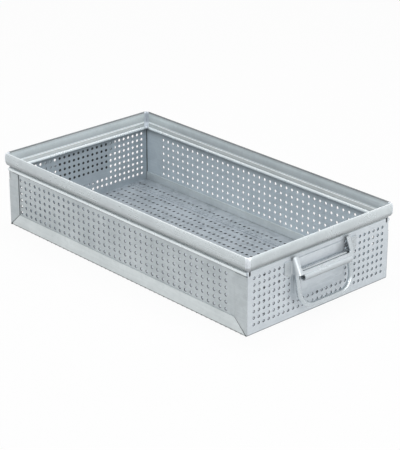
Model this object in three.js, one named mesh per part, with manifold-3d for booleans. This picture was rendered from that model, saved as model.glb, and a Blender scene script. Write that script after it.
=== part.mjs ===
import * as THREE from 'three';
import { mergeGeometries, mergeVertices } from 'three/addons/utils/BufferGeometryUtils.js';
import Module from 'manifold-3d';

// Perforated sheet metal box with a rolled rim and a hanging wire handle on each end.
// Millimetres, +Z up, origin at the middle of the footprint. X is the long side.

const wasm = await Module();
wasm.setup();

// Overall sizes over the sheet metal, without the rim's roll.
const box_length = 450;
const box_width = 240;
const box_height = 100;

// Sheet stock, and the small gap between pieces that are not face to face.
const sheet = 1;
const joint_gap = 0.3;

// Floor: two sheets that overlap in a lap seam, an upright strip outside each long wall and an
// upturned floor edge inside it.
const strip_height = 18;
const lap_setback = 27;
const lap_width = 8;
const floor_edge_height = 12;

// Walls: how far the rim stands above them, and the bevel on two of the corner flanges.
const rim_rise = 25;
const bevel_drop = 12;
const bevel_width = 8;

// The end walls' edges, folded round the corners onto the long walls.
const corner_flange_width = 20;

// Hole pattern of the long walls.
const long_columns = 40;
const long_rows = 6;
const long_left_margin = 24.1;
const long_right_margin = 35.9;
const near_first_row = 22.3;
const far_first_row = 17.7;
const long_top_margin = 7.2;
const long_hole = 4.2;

// Hole pattern of the end walls.
const end_columns = 28;
const end_rows = 8;
const end_margin = 11.5;
const end_first_row = 11.5;
const end_top_margin = 4.5;
const end_hole = 3.7;

// Rim: how far its roll stands out from the wall, the round bead on the wall's top edge under
// it, and the weld in its corners.
const rim_reach = 5.1;
const bead_radius = 2.9;
const bead_rise = 2.6;
const weld_width = 2.4;
const weld_thickness = 1.5;

// Handle: plate on the wall, bracket over it, and the swinging wire bail.
const bracket_half_width = 49;
const bracket_sheet = 1.2;
const bracket_gap = 3.5;
const bracket_height = 17.2;
const bracket_top_reach = 3.5;
const bracket_foot_reach = 12.4;
const cheek_gap = 0.3;
const leg_width = 8;
const window_rise = 3.5;
const window_corner = 3;
const flange_width = 11.6;
const flange_drop = 3.5;
const flange_corner = 5;
const plate_clearance = 0.8;
const plate_far_setback = 8;
const plate_drop = 27.5;
const plate_corner = 6;
const tube_radius = 4.5;
const tube_bore_radius = 2.3;
const tube_reach = 11;
const tube_drop = 3.5;
const bail_wire_radius = 3.25;
const bail_clearance = 0.5;
const bail_reach = 4.6;
const bail_bar_rise = 5;
const bail_drop = 44.7;
const bail_top_corner = 4.5;
const bail_bottom_corner = 22;

// How far the resting bail leans out from the wall, in degrees.
const bail_rest_lean = 10;

// Fineness of round stretches, as counts.
const tube_sides = 16;
const wire_sides = 8;
const bead_sides = 12;
const corner_steps = 5;

// Places worked out from the sizes above.
const half_length = box_length / 2;
const half_width = box_width / 2;
const end_inner = half_length - sheet;
const long_outer = half_width - sheet;
const long_inner = long_outer - sheet;
const wall_top = box_height - rim_rise;
const bevel_start = wall_top - bevel_drop;
const lap_outer = half_width - lap_setback;
const lap_inner = lap_outer - lap_width;
const bracket_foot = wall_top - cheek_gap - bracket_height;
const bracket_top = wall_top + bracket_gap;
const cheek_top = wall_top - cheek_gap;
const window_half_width = bracket_half_width - leg_width;
const tube_height = bracket_foot - tube_drop;
const bail_half_width = bracket_half_width - bracket_sheet - bail_clearance - bail_wire_radius;
const tube_half_length = bail_half_width - bail_wire_radius - bail_clearance - joint_gap;
const bail_bar_height = tube_height + bail_bar_rise;
const plate_edge = bracket_half_width - bracket_sheet - plate_clearance;

const zinc = { color: 0xb9c0c4, roughness: 0.42, metalness: 0.85 };
const zinc_dark = { color: 0x9aa2a7, roughness: 0.45, metalness: 0.85 };
const zinc_bright = { color: 0xcfd5d8, roughness: 0.3, metalness: 0.9 };

const box = new THREE.Group();

function addPiece(name, geometry, finish) {
  const piece = new THREE.Mesh(geometry, new THREE.MeshStandardMaterial(finish));
  piece.name = name;
  box.add(piece);
}

// The same geometry after half a turn about the upright middle axis.
function halfTurned(geometry) {
  return geometry.clone().scale(-1, -1, 1);
}

function toSolid(geometry) {
  const bare = geometry.clone();
  bare.deleteAttribute('normal');
  bare.deleteAttribute('uv');
  const merged = mergeVertices(bare);
  const vertProperties = new Float32Array(merged.attributes.position.array);
  const triVerts = new Uint32Array(merged.index.array);
  return new wasm.Manifold(new wasm.Mesh({ numProp: 3, vertProperties, triVerts }));
}

function toGeometry(solid) {
  const mesh = solid.getMesh();
  const geometry = new THREE.BufferGeometry();
  geometry.setAttribute('position', new THREE.BufferAttribute(new Float32Array(mesh.vertProperties), 3));
  geometry.setIndex(new THREE.BufferAttribute(new Uint32Array(mesh.triVerts), 1));
  return geometry;
}

function joined(geometries) {
  return toGeometry(geometries.map(toSolid).reduce((sum, solid) => sum.add(solid)));
}

function cut(geometry, cutters) {
  return toGeometry(toSolid(geometry).subtract(toSolid(mergeGeometries(cutters))));
}

function block(x_from, x_to, y_from, y_to, z_from, z_to) {
  const geometry = new THREE.BoxGeometry(x_to - x_from, y_to - y_from, z_to - z_from);
  geometry.translate((x_from + x_to) / 2, (y_from + y_to) / 2, (z_from + z_to) / 2);
  return geometry;
}

function outline(points) {
  return new THREE.Shape(points.map(([across, up]) => new THREE.Vector2(across, up)));
}

// A flat sheet across Y: its outline is drawn in X and Z.
function sheetAcrossY(shape, y_from, thickness) {
  const geometry = new THREE.ExtrudeGeometry(shape, { depth: thickness, bevelEnabled: false });
  geometry.rotateX(Math.PI / 2);
  geometry.translate(0, y_from + thickness, 0);
  return geometry;
}

// A flat sheet across X: its outline is drawn in Y and Z.
function sheetAcrossX(shape, x_from, thickness) {
  const geometry = new THREE.ExtrudeGeometry(shape, { depth: thickness, bevelEnabled: false });
  geometry.rotateX(Math.PI / 2);
  geometry.rotateZ(Math.PI / 2);
  geometry.translate(x_from, 0, 0);
  return geometry;
}

// A wall's outline above its bottom edge.
function wallOutline(half_span, bottom) {
  return outline([[-half_span, bottom], [half_span, bottom], [half_span, wall_top], [-half_span, wall_top]]);
}

// The upright strip outside a long wall, mitred at its ends.
function baseStrip() {
  const foot = end_inner - joint_gap;
  const top = half_length - corner_flange_width - joint_gap;
  const shape = outline([[-foot, 0], [foot, 0], [top, strip_height], [-top, strip_height]]);
  return sheetAcrossY(shape, -half_width, sheet);
}

// The floor's upturned edge, inside a long wall.
function floorEdge() {
  const end = end_inner - joint_gap;
  return block(-end, end, -long_inner, sheet - long_inner, sheet, floor_edge_height);
}

// The floor's far sheet steps up over the near sheet in the lap seam.
function farFloor() {
  const step = lap_outer + joint_gap;
  const section = outline([
    [step, 0],
    [long_outer, 0],
    [long_outer, sheet],
    [step + sheet, sheet],
    [step + sheet, sheet + sheet],
    [lap_inner, sheet + sheet],
    [lap_inner, sheet],
    [step, sheet],
  ]);
  return sheetAcrossX(section, -end_inner, end_inner + end_inner);
}

// The far wall is the near one turned half round, with its hole rows a little lower.
function longWall(first_row) {
  const y_from = -long_outer;
  const column_step = (box_length - long_left_margin - long_right_margin) / (long_columns - 1);
  const row_step = (wall_top - long_top_margin - first_row) / (long_rows - 1);
  const half = long_hole / 2;
  const holes = [];
  for (let column = 0; column < long_columns; column += 1) {
    for (let row = 0; row < long_rows; row += 1) {
      const x = long_left_margin - half_length + column * column_step;
      const z = first_row + row * row_step;
      holes.push(block(x - half, x + half, y_from - joint_gap, y_from + sheet + joint_gap, z - half, z + half));
    }
  }
  return cut(sheetAcrossY(wallOutline(end_inner - joint_gap, sheet), y_from, sheet), holes);
}

// The right hand end wall. It has no holes where the handle's plate covers it.
function endWall() {
  const column_step = (box_width - end_margin - end_margin) / (end_columns - 1);
  const row_step = (wall_top - end_top_margin - end_first_row) / (end_rows - 1);
  const half = end_hole / 2;
  const holes = [];
  for (let column = 0; column < end_columns; column += 1) {
    for (let row = 0; row < end_rows; row += 1) {
      const y = end_margin - half_width + column * column_step;
      const z = end_first_row + row * row_step;
      const beside = y < -plate_edge - end_hole || y > plate_edge - plate_far_setback + end_hole;
      const covered = !beside && z > bracket_foot - plate_drop - end_hole;
      if (!covered) {
        holes.push(block(end_inner - joint_gap, half_length + joint_gap, y - half, y + half, z - half, z + half));
      }
    }
  }
  return cut(sheetAcrossX(wallOutline(long_outer, 0), end_inner, sheet), holes);
}

// The right hand end wall's edge, folded onto a long wall and mitred against the base strip. Only
// the flange on the far side has a bevelled top.
function cornerFlange(side) {
  const top = wall_top - joint_gap;
  const inner = half_length - corner_flange_width;
  const upper = side > 0 ? [[half_length, bevel_start], [half_length - bevel_width, top]] : [[half_length, top]];
  const shape = outline([[half_length, joint_gap], ...upper, [inner, top], [inner, strip_height + joint_gap]]);
  return sheetAcrossY(shape, side > 0 ? long_outer : -half_width, sheet);
}

// Offsets an open line to both sides, for the section of a bent strip.
function stripOutline(line, thickness) {
  const left = [];
  const right = [];
  line.forEach(([across, up], index) => {
    const before = line[Math.max(index - 1, 0)];
    const after = line[Math.min(index + 1, line.length - 1)];
    const into = new THREE.Vector2(across - before[0], up - before[1]).normalize();
    const out = new THREE.Vector2(after[0] - across, after[1] - up).normalize();
    if (index === 0) {
      into.copy(out);
    }
    if (index === line.length - 1) {
      out.copy(into);
    }
    const along = into.clone().add(out).normalize();
    const stretch = thickness / 2 / Math.max(along.dot(out), Math.SQRT1_2);
    left.push([across - along.y * stretch, up + along.x * stretch]);
    right.push([across + along.y * stretch, up - along.x * stretch]);
  });
  return right.concat(left.reverse());
}

// The rim's middle line as shares of its reach and rise: from inside the bead up the slanting
// ledge and lip, over the roll and down the bulging skirt.
const rim_line_shares = [
  [-0.3, 0.1],
  [-0.3, 0.22],
  [0.04, 0.39],
  [0.12, 0.44],
  [0.35, 0.9],
  [0.45, 0.98],
  [0.58, 1],
  [0.72, 0.975],
  [0.86, 0.9],
  [0.96, 0.79],
  [1, 0.66],
  [0.95, 0.54],
  [0.8, 0.44],
  [0.62, 0.38],
];

function rimLine() {
  const reach = rim_reach - sheet / 2;
  const rise = rim_rise - sheet / 2;
  return rim_line_shares.map(([across, up]) => [reach * across, wall_top + rise * up]);
}

// The bead's section is round, with a flat that rests on the wall's top edge. It stands out from
// the wall by the given reach at most.
function beadOutline(radius, reach) {
  const points = [];
  for (let step = 0; step < bead_sides; step += 1) {
    const angle = (step / bead_sides) * 2 * Math.PI;
    const up = Math.max(bead_rise + radius * Math.sin(angle), 0);
    points.push([Math.min(radius * Math.cos(angle) - sheet / 2, reach), wall_top + up]);
  }
  return points;
}

// A rail with mitred ends, on a wall at the given distance along +X.
function mitredRail(section, wall_distance, corner_distance) {
  const geometry = new THREE.ExtrudeGeometry(outline(section), { depth: sheet, bevelEnabled: false });
  const position = geometry.attributes.position;
  const trim = (weld_width / 2) * Math.SQRT2 + joint_gap;
  for (let index = 0; index < position.count; index += 1) {
    const out = position.getX(index);
    const end = position.getZ(index) > 0 ? -1 : 1;
    position.setXYZ(index, wall_distance + out, end * (corner_distance + out - trim), position.getY(index));
  }
  return geometry;
}

// On the end walls the bead is flush outside, and on the long walls it is round all over.
function rimRail(wall_distance, corner_distance, bead_reach, turn) {
  const geometry = joined([
    mitredRail(stripOutline(rimLine(), sheet), wall_distance, corner_distance),
    mitredRail(beadOutline(bead_radius, bead_reach), wall_distance, corner_distance),
  ]);
  geometry.rotateZ(turn);
  return geometry;
}

// The weld that fills a mitre: the rim's section, thicker, drawn on the corner's diagonal.
function mitreFill(section) {
  const points = section.map(([out, up]) => [out * Math.SQRT2, up]);
  return new THREE.ExtrudeGeometry(outline(points), { depth: weld_width, bevelEnabled: false });
}

function rimWeld(end, side) {
  const geometry = joined([
    mitreFill(stripOutline(rimLine(), weld_thickness)),
    mitreFill(beadOutline(bead_radius, 0)),
  ]);
  geometry.rotateX(Math.PI / 2);
  geometry.translate(0, weld_width / 2, 0);
  geometry.rotateZ(Math.atan2(side, end));
  geometry.translate(end * half_length, side * long_outer, 0);
  return geometry;
}

// The handle is drawn on the right hand end.
function handlePlate() {
  const low = bracket_foot - plate_drop + plate_corner;
  const far_edge = plate_edge - plate_far_setback;
  const shape = new THREE.Shape();
  shape.moveTo(far_edge, cheek_top);
  shape.lineTo(-plate_edge, cheek_top);
  shape.absarc(plate_corner - plate_edge, low, plate_corner, Math.PI, Math.PI * 1.5);
  shape.absarc(far_edge - plate_corner, low, plate_corner, Math.PI * 1.5, Math.PI * 2);
  return sheetAcrossX(new THREE.Shape(shape.extractPoints(corner_steps).shape), half_length, sheet);
}

// How far the bracket's front stands off the wall at a height: it leans out downward.
function bracketReach(up) {
  const share = (bracket_top - up) / (bracket_top - bracket_foot);
  return half_length + THREE.MathUtils.lerp(bracket_top_reach, bracket_foot_reach, share);
}

function bracketSlab(thickness, y_from, y_to, z_from, z_to) {
  const shape = outline([
    [bracketReach(z_from) - thickness, z_from],
    [bracketReach(z_from), z_from],
    [bracketReach(z_to), z_to],
    [bracketReach(z_to) - thickness, z_to],
  ]);
  return sheetAcrossY(shape, y_from, y_to - y_from);
}

function bracketCheek(side) {
  const shape = outline([
    [half_length, bracket_foot],
    [bracketReach(bracket_foot), bracket_foot],
    [bracketReach(cheek_top), cheek_top],
    [half_length, cheek_top],
  ]);
  return sheetAcrossY(shape, side > 0 ? bracket_half_width - bracket_sheet : -bracket_half_width, bracket_sheet);
}

function bracketFlange(side) {
  const inner = bracket_half_width - bracket_sheet;
  const outer = bracket_half_width + flange_width;
  const bottom = bracket_foot - flange_drop;
  const shape = new THREE.Shape();
  shape.moveTo(inner, cheek_top);
  shape.lineTo(inner, bottom);
  shape.absarc(outer - flange_corner, bottom + flange_corner, flange_corner, -Math.PI / 2, 0);
  shape.lineTo(outer, cheek_top);
  const points = shape.extractPoints(corner_steps).shape.map((point) => [side * point.x, point.y]);
  return sheetAcrossX(outline(points), half_length, bracket_sheet);
}

// The tube is the bracket's lower edge, curled round.
function bracketTube() {
  const profile = [
    [tube_bore_radius, -tube_half_length],
    [tube_radius, -tube_half_length],
    [tube_radius, tube_half_length],
    [tube_bore_radius, tube_half_length],
    [tube_bore_radius, -tube_half_length],
  ];
  const points = profile.map(([radius, along]) => new THREE.Vector2(radius, along));
  const geometry = new THREE.LatheGeometry(points, tube_sides);
  geometry.rotateY(Math.PI / tube_sides);
  geometry.translate(half_length + tube_reach, 0, tube_height);
  return geometry;
}

function handleBracket() {
  const window_low = bracket_foot + window_rise + window_corner;
  const window_shape = new THREE.Shape();
  window_shape.moveTo(window_half_width, bracket_top + sheet);
  window_shape.lineTo(-window_half_width, bracket_top + sheet);
  window_shape.absarc(window_corner - window_half_width, window_low, window_corner, Math.PI, Math.PI * 1.5);
  window_shape.absarc(window_half_width - window_corner, window_low, window_corner, Math.PI * 1.5, Math.PI * 2);
  const window_points = new THREE.Shape(window_shape.extractPoints(corner_steps).shape);
  const front = cut(
    bracketSlab(bracket_sheet, -bracket_half_width, bracket_half_width, bracket_foot, bracket_top),
    [sheetAcrossX(window_points, half_length, bracket_foot_reach + sheet)],
  );
  return joined([
    front,
    bracketCheek(-1),
    bracketCheek(1),
    bracketFlange(-1),
    bracketFlange(1),
    bracketTube(),
  ]);
}

// The bail's middle line round its top bar: a closed loop with tight top and wide bottom corners.
function bailLine() {
  const corners = [
    [1, -bail_top_corner, bail_top_corner, 0],
    [-1, -bail_top_corner, bail_top_corner, Math.PI / 2],
    [-1, bail_bottom_corner - bail_drop, bail_bottom_corner, Math.PI],
    [1, bail_bottom_corner - bail_drop, bail_bottom_corner, Math.PI * 1.5],
  ];
  const line = [];
  corners.forEach(([side, height, radius, start_angle]) => {
    for (let step = 0; step <= corner_steps; step += 1) {
      const angle = start_angle + (Math.PI / 2) * (step / corner_steps);
      const normal = new THREE.Vector2(Math.cos(angle), Math.sin(angle));
      const across = side * (bail_half_width - radius) + radius * normal.x;
      line.push({ across, up: height + radius * normal.y, normal });
    }
  });
  return line;
}

function handleBail() {
  const line = bailLine();
  const positions = [];
  line.forEach(({ across, up, normal }) => {
    for (let side = 0; side < wire_sides; side += 1) {
      const angle = (side / wire_sides) * 2 * Math.PI;
      const out = Math.cos(angle) * bail_wire_radius;
      positions.push(Math.sin(angle) * bail_wire_radius, across + normal.x * out, up + normal.y * out);
    }
  });
  const triangles = [];
  for (let ring = 0; ring < line.length; ring += 1) {
    const next_ring = (ring + 1) % line.length;
    for (let side = 0; side < wire_sides; side += 1) {
      const next_side = (side + 1) % wire_sides;
      const here = ring * wire_sides + side;
      const beside = ring * wire_sides + next_side;
      const ahead = next_ring * wire_sides + side;
      const across = next_ring * wire_sides + next_side;
      triangles.push(here, ahead, across, here, across, beside);
    }
  }
  const geometry = new THREE.BufferGeometry();
  geometry.setAttribute('position', new THREE.Float32BufferAttribute(positions, 3));
  geometry.setIndex(triangles);
  geometry.rotateY(-THREE.MathUtils.degToRad(bail_rest_lean));
  geometry.translate(half_length + bail_reach, 0, bail_bar_height);
  return geometry;
}

// Pieces on both ends, drawn on the right and turned half round for the left.
function addPair(name, right_word, left_word, geometry, finish) {
  addPiece(`${name}_${right_word}`, geometry, finish);
  addPiece(`${name}_${left_word}`, halfTurned(geometry), finish);
}

addPiece('floor_front', block(-end_inner, end_inner, -long_outer, lap_outer, 0, sheet), zinc_dark);
addPiece('floor_back', farFloor(), zinc_dark);
addPair('base_strip', 'front', 'back', baseStrip(), zinc_bright);
addPair('floor_edge', 'front', 'back', floorEdge(), zinc_dark);
addPiece('long_wall_front', longWall(near_first_row), zinc);
addPiece('long_wall_back', halfTurned(longWall(far_first_row)), zinc);
addPair('end_wall', 'right', 'left', endWall(), zinc);
addPair('corner_flange', 'front_right', 'back_left', cornerFlange(-1), zinc);
addPair('corner_flange', 'back_right', 'front_left', cornerFlange(1), zinc);
addPair('rim_rail', 'right', 'left', rimRail(half_length, long_outer, 0, 0), zinc_bright);
addPair('rim_rail', 'back', 'front', rimRail(long_outer, half_length, bead_radius, Math.PI / 2), zinc_bright);
addPair('rim_weld', 'front_right', 'back_left', rimWeld(1, -1), zinc_dark);
addPair('rim_weld', 'back_right', 'front_left', rimWeld(1, 1), zinc_dark);
addPair('handle_plate', 'right', 'left', handlePlate(), zinc);
addPair('handle_bracket', 'right', 'left', handleBracket(), zinc_bright);
addPair('handle_bail', 'right', 'left', handleBail(), zinc_bright);

export default box;
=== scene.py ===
import math
import bmesh
import bpy
from mathutils import Matrix, Vector, noise


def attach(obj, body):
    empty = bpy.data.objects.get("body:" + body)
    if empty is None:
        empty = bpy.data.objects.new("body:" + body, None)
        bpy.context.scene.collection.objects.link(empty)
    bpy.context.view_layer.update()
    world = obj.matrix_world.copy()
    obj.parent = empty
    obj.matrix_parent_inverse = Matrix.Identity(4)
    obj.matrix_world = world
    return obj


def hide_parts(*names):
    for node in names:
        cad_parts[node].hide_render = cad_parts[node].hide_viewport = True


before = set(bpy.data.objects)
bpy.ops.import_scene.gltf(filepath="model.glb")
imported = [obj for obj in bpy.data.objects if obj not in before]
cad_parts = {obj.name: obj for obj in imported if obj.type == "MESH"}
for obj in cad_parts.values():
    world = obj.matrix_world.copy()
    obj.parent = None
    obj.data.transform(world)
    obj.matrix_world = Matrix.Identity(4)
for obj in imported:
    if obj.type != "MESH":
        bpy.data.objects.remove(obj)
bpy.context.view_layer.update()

# The visible model of a perforated metal box. Sizes are in millimetres, and a mesh becomes
# metres when it is made. The near long wall is at -Y and the near end wall at +X.
MM = 0.001
LENGTH, WIDTH, HEIGHT = 450.0, 240.0, 100.0
WALL_TOP = 75.0
SHEET = 1.0
SHEET_EDGE = 0.28
CLEARANCE = 0.3

# Half sizes, and the faces of the walls
HALF_L = LENGTH / 2
HALF_W = WIDTH / 2
END_IN = HALF_L - SHEET
LONG_OUT = HALF_W - SHEET
LONG_IN = LONG_OUT - SHEET
LONG_HALF = END_IN - CLEARANCE
SHEET_TOP = WALL_TOP - CLEARANCE

# Points closer than this are one point. Angles are in degrees.
MERGE = 0.002
BEVEL_ANGLE = 40.0
SHEET_SMOOTH = 30.0
PRISM_SMOOTH = 50.0


# Meshes

def shade(obj, angle):
    """Smooth shading, with sharp edges where faces meet at more than the angle."""
    obj.data.shade_smooth()
    obj.data.set_sharp_from_angle(angle=math.radians(angle))


def make(name, verts, faces, smooth):
    mesh = bpy.data.meshes.new(name)
    mesh.from_pydata([(x * MM, y * MM, z * MM) for x, y, z in verts], [], faces)
    bm = bmesh.new()
    bm.from_mesh(mesh)
    bmesh.ops.remove_doubles(bm, verts=bm.verts, dist=MERGE * MM)
    bmesh.ops.recalc_face_normals(bm, faces=bm.faces)
    bm.to_mesh(mesh)
    bm.free()
    obj = bpy.data.objects.new(name, mesh)
    bpy.context.scene.collection.objects.link(obj)
    shade(obj, smooth)
    return obj


def settle(obj):
    """Applies an object's modifiers to its mesh."""
    deps = bpy.context.evaluated_depsgraph_get()
    made = bpy.data.meshes.new_from_object(obj.evaluated_get(deps))
    obj.modifiers.clear()
    obj.data = made


def bevel(obj, width, segments):
    mod = obj.modifiers.new("edge", "BEVEL")
    mod.width = width * MM
    mod.segments = segments
    mod.limit_method = "ANGLE"
    mod.angle_limit = math.radians(BEVEL_ANGLE)
    settle(obj)


def half_turn(obj, name):
    """A copy turned half round the upright middle axis, for the other end or side."""
    twin = bpy.data.objects.new(name, obj.data.copy())
    bpy.context.scene.collection.objects.link(twin)
    twin.data.transform(Matrix.Rotation(math.pi, 4, "Z"))
    return twin


def band(first, second):
    """Faces between two closed rings of as many points."""
    n = len(first)
    turn = [(k, (k + 1) % n) for k in range(n)]
    return [(first[k], first[m], second[m], second[k]) for k, m in turn]


def swept(name, bodies, smooth, closed=False):
    """Each body is a list of rings of points, joined to a skin that is closed or has flat ends."""
    verts, faces = [], []
    for rings in bodies:
        numbers = []
        for ring in rings:
            numbers.append(list(range(len(verts), len(verts) + len(ring))))
            verts += ring
        for first, second in zip(numbers, numbers[1:]):
            faces += band(first, second)
        if closed:
            faces += band(numbers[-1], numbers[0])
        else:
            faces += [tuple(numbers[0]), tuple(numbers[-1])]
    return make(name, verts, faces, smooth)


def prism(name, outline, across, low, high, edge=SHEET_EDGE):
    """A flat sheet across 'X' or 'Y', from an outline in the other two axes."""
    def put(a, b, depth):
        return (a, depth, b) if across == "Y" else (depth, a, b)

    n = len(outline)
    verts = [put(a, b, low) for a, b in outline] + [put(a, b, high) for a, b in outline]
    faces = [tuple(range(n)), tuple(range(n, 2 * n))]
    faces += band(list(range(n)), list(range(n, 2 * n)))
    obj = make(name, verts, faces, SHEET_SMOOTH)
    if edge:
        bevel(obj, edge, 2)
        shade(obj, PRISM_SMOOTH)
    return obj


def arc(cx, cy, r, start, end, steps):
    angles = [math.radians(start + (end - start) * i / steps) for i in range(steps + 1)]
    return [(cx + r * math.cos(a), cy + r * math.sin(a)) for a in angles]


def round_footed(left, right, low, top, corner):
    """An outline with square upper corners and round lower ones."""
    steps = 8
    line = [(right, top), (left, top)]
    line += arc(left + corner, low + corner, corner, 180, 270, steps)
    line += arc(right - corner, low + corner, corner, 270, 360, steps)
    return line


def spaced(first, last, count):
    return [first + (last - first) * k / (count - 1) for k in range(count)]


# Perforated sheets

# Each hole sits in a cell of its own, and cells and plain margins share their edge points.
CELL_SIDE = 4
HOLE_SIDES = 4 * CELL_SIDE
CELL_CORNER_ANGLE = 225
CHAMFER = 0.22
CHAMFER_DEPTH = 0.2


def cell_lines(low, high, cells):
    """Grid lines that divide each cell's side, and the index where each cell starts."""
    lines = [low]
    starts = []
    for a, b in cells:
        if a > lines[-1] + MERGE:
            lines.append(a)
        starts.append(len(lines) - 1)
        lines += [a + (b - a) * k / CELL_SIDE for k in range(1, CELL_SIDE + 1)]
    if high > lines[-1] + MERGE:
        lines.append(high)
    return lines, starts


def cell_bounds(centres):
    """Cells that meet halfway between their holes."""
    mids = [(a + b) / 2 for a, b in zip(centres, centres[1:])]
    first = centres[0] - (mids[0] - centres[0])
    last = centres[-1] + (centres[-1] - mids[-1])
    edges = [first] + mids + [last]
    return list(zip(edges, edges[1:]))


def cell_border(grid, i, j):
    """The points round a cell from its low corner, as many as a hole has sides."""
    n = CELL_SIDE
    border = [grid[i + k][j] for k in range(n)]
    border += [grid[i + n][j + k] for k in range(n)]
    border += [grid[i + n - k][j + n] for k in range(n)]
    border += [grid[i][j + n - k] for k in range(n)]
    return border


def perforated(name, s_span, t_span, s_holes, t_holes, radii, put, skip=None, t_cells=None):
    """A sheet with round holes as one closed mesh. put(s, t, face, sink) places a point on face 0
    or 1 of the sheet, sunk below it, and radii gives the holes' radius on each face."""
    s_lines, s_starts = cell_lines(*s_span, cell_bounds(s_holes))
    t_lines, t_starts = cell_lines(*t_span, t_cells or cell_bounds(t_holes))
    verts, faces = [], []

    def point(s, t, face, sink):
        verts.append(put(s, t, face, sink))
        return len(verts) - 1

    def ring(s, t, r, face, sink):
        angles = [math.radians(CELL_CORNER_ANGLE + k * 360 / HOLE_SIDES) for k in range(HOLE_SIDES)]
        return [point(s + r * math.cos(a), t + r * math.sin(a), face, sink) for a in angles]

    grids = [[[point(s, t, face, 0.0) for t in t_lines] for s in s_lines] for face in (0, 1)]
    taken = set()
    for s, i in zip(s_holes, s_starts):
        for t, j in zip(t_holes, t_starts):
            if skip and skip(s, t):
                continue
            taken |= {(i + a, j + b) for a in range(CELL_SIDE) for b in range(CELL_SIDE)}
            mouths = []
            for face, radius in enumerate(radii):
                outer = ring(s, t, radius + CHAMFER, face, 0.0)
                inner = ring(s, t, radius, face, CHAMFER_DEPTH)
                faces += band(cell_border(grids[face], i, j), outer) + band(outer, inner)
                mouths.append(inner)
            faces += band(*mouths)

    last_i, last_j = len(s_lines) - 1, len(t_lines) - 1
    for grid in grids:
        for i in range(last_i):
            for j in range(last_j):
                if (i, j) not in taken:
                    faces.append((grid[i][j], grid[i + 1][j], grid[i + 1][j + 1], grid[i][j + 1]))
    near, far = grids
    for i in range(last_i):
        for j in (0, last_j):
            faces.append((near[i][j], near[i + 1][j], far[i + 1][j], far[i][j]))
    for j in range(last_j):
        for i in (0, last_i):
            faces.append((near[i][j], near[i][j + 1], far[i][j + 1], far[i][j]))
    return make(name, verts, faces, SHEET_SMOOTH)


# Handle plate, which the end walls' holes have to know
PLATE_LEFT, PLATE_RIGHT = -47.0, 39.0
PLATE_LOW = 30.0
PLATE_CORNER = 6.0
PLATE_EDGE = 0.25

# Walls

# The far long wall's rows start lower, and its columns are the near one's turned round.
LONG_COLUMNS, LONG_ROWS = 40, 6
NEAR_LEFT_MARGIN, NEAR_RIGHT_MARGIN = 24.1, 35.9
NEAR_FIRST_ROW, FAR_FIRST_ROW, LONG_LAST_ROW = 22.3, 17.7, 67.8
END_COLUMNS, END_ROWS = 28, 8
END_MARGIN = 11.5
END_FIRST_ROW, END_LAST_ROW = 11.5, 70.5
PLATE_MARGIN = 2.0

NEAR_X = spaced(-HALF_L + NEAR_LEFT_MARGIN, HALF_L - NEAR_RIGHT_MARGIN, LONG_COLUMNS)
NEAR_Z = spaced(NEAR_FIRST_ROW, LONG_LAST_ROW, LONG_ROWS)
FAR_X = [-x for x in reversed(NEAR_X)]
FAR_Z = spaced(FAR_FIRST_ROW, LONG_LAST_ROW, LONG_ROWS)
END_Y = spaced(-HALF_W + END_MARGIN, HALF_W - END_MARGIN, END_COLUMNS)
END_Z = spaced(END_FIRST_ROW, END_LAST_ROW, END_ROWS)

# Hole radii on the lower and the higher face along the axis across the wall. The near walls'
# holes narrow inward.
NEAR_RADII, FAR_RADII = (2.2, 1.7), (1.85, 1.85)
RIGHT_RADII, LEFT_RADII = (1.5, 2.0), (1.95, 1.95)


def upright(across, low):
    """Places the points of an upright sheet across 'X' or 'Y'."""
    def put(s, z, face, sink):
        depth = low + sink if face == 0 else low + SHEET - sink
        return (s, depth, z) if across == "Y" else (depth, s, z)

    return put


def long_wall(word, low, columns, rows, radii):
    span = (-LONG_HALF, LONG_HALF)
    name = "wall_long_" + word
    obj = perforated(name, span, (SHEET, WALL_TOP), columns, rows, radii, upright("Y", low))
    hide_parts("long_wall_" + word)
    return obj


def end_wall(word, side, low, radii):
    def cut_by_plate(y, z):
        """True for a hole that the handle plate's lower edge would cut."""
        beside = PLATE_LEFT - PLATE_MARGIN < y * side < PLATE_RIGHT + PLATE_MARGIN
        return beside and abs(z - PLATE_LOW) < PLATE_MARGIN

    span = (-LONG_OUT, LONG_OUT)
    name = "wall_end_" + word
    put = upright("X", low)
    obj = perforated(name, span, (0.0, WALL_TOP), END_Y, END_Z, radii, put, skip=cut_by_plate)
    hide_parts("end_wall_" + word)
    return obj


wall_front = long_wall("front", -LONG_OUT, NEAR_X, NEAR_Z, NEAR_RADII)
wall_back = long_wall("back", LONG_IN, FAR_X, FAR_Z, FAR_RADII)
wall_left = end_wall("left", -1, -HALF_L, LEFT_RADII)
wall_right = end_wall("right", 1, END_IN, RIGHT_RADII)

# Floor: two perforated sheets, the far one lapped over the near one
FLOOR_MIDDLE, FLOOR_PITCH_X = 1.3, 8.43
FLOOR_SIDE_COLUMNS = 26
FLOOR_ROW, FLOOR_PITCH_Y = 65.3, 13.05
FLOOR_NEAR_ROWS = 15
FLOOR_LAST_ROW = 78.8
FLOOR_FAR_ROWS = [88.9, 99.8]
FLOOR_FAR_CELLS = [(85.6, 92.2), (95.2, 104.0)]
FLOOR_RADII = (2.0, 2.0)
NEAR_FLOOR_END = 93.0
FAR_FLOOR_START = 85.0
LAP_STEP_END, LAP_STEP_LENGTH = 94.3, 1.0

COLUMN_COUNTS = range(-FLOOR_SIDE_COLUMNS, FLOOR_SIDE_COLUMNS + 1)
FLOOR_X = [FLOOR_MIDDLE + FLOOR_PITCH_X * n for n in COLUMN_COUNTS]
FLOOR_Y = [FLOOR_ROW - FLOOR_PITCH_Y * n for n in reversed(range(FLOOR_NEAR_ROWS))] + [FLOOR_LAST_ROW]


def flat_put(x, y, face, sink):
    return (x, y, sink if face == 0 else SHEET - sink)


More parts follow.
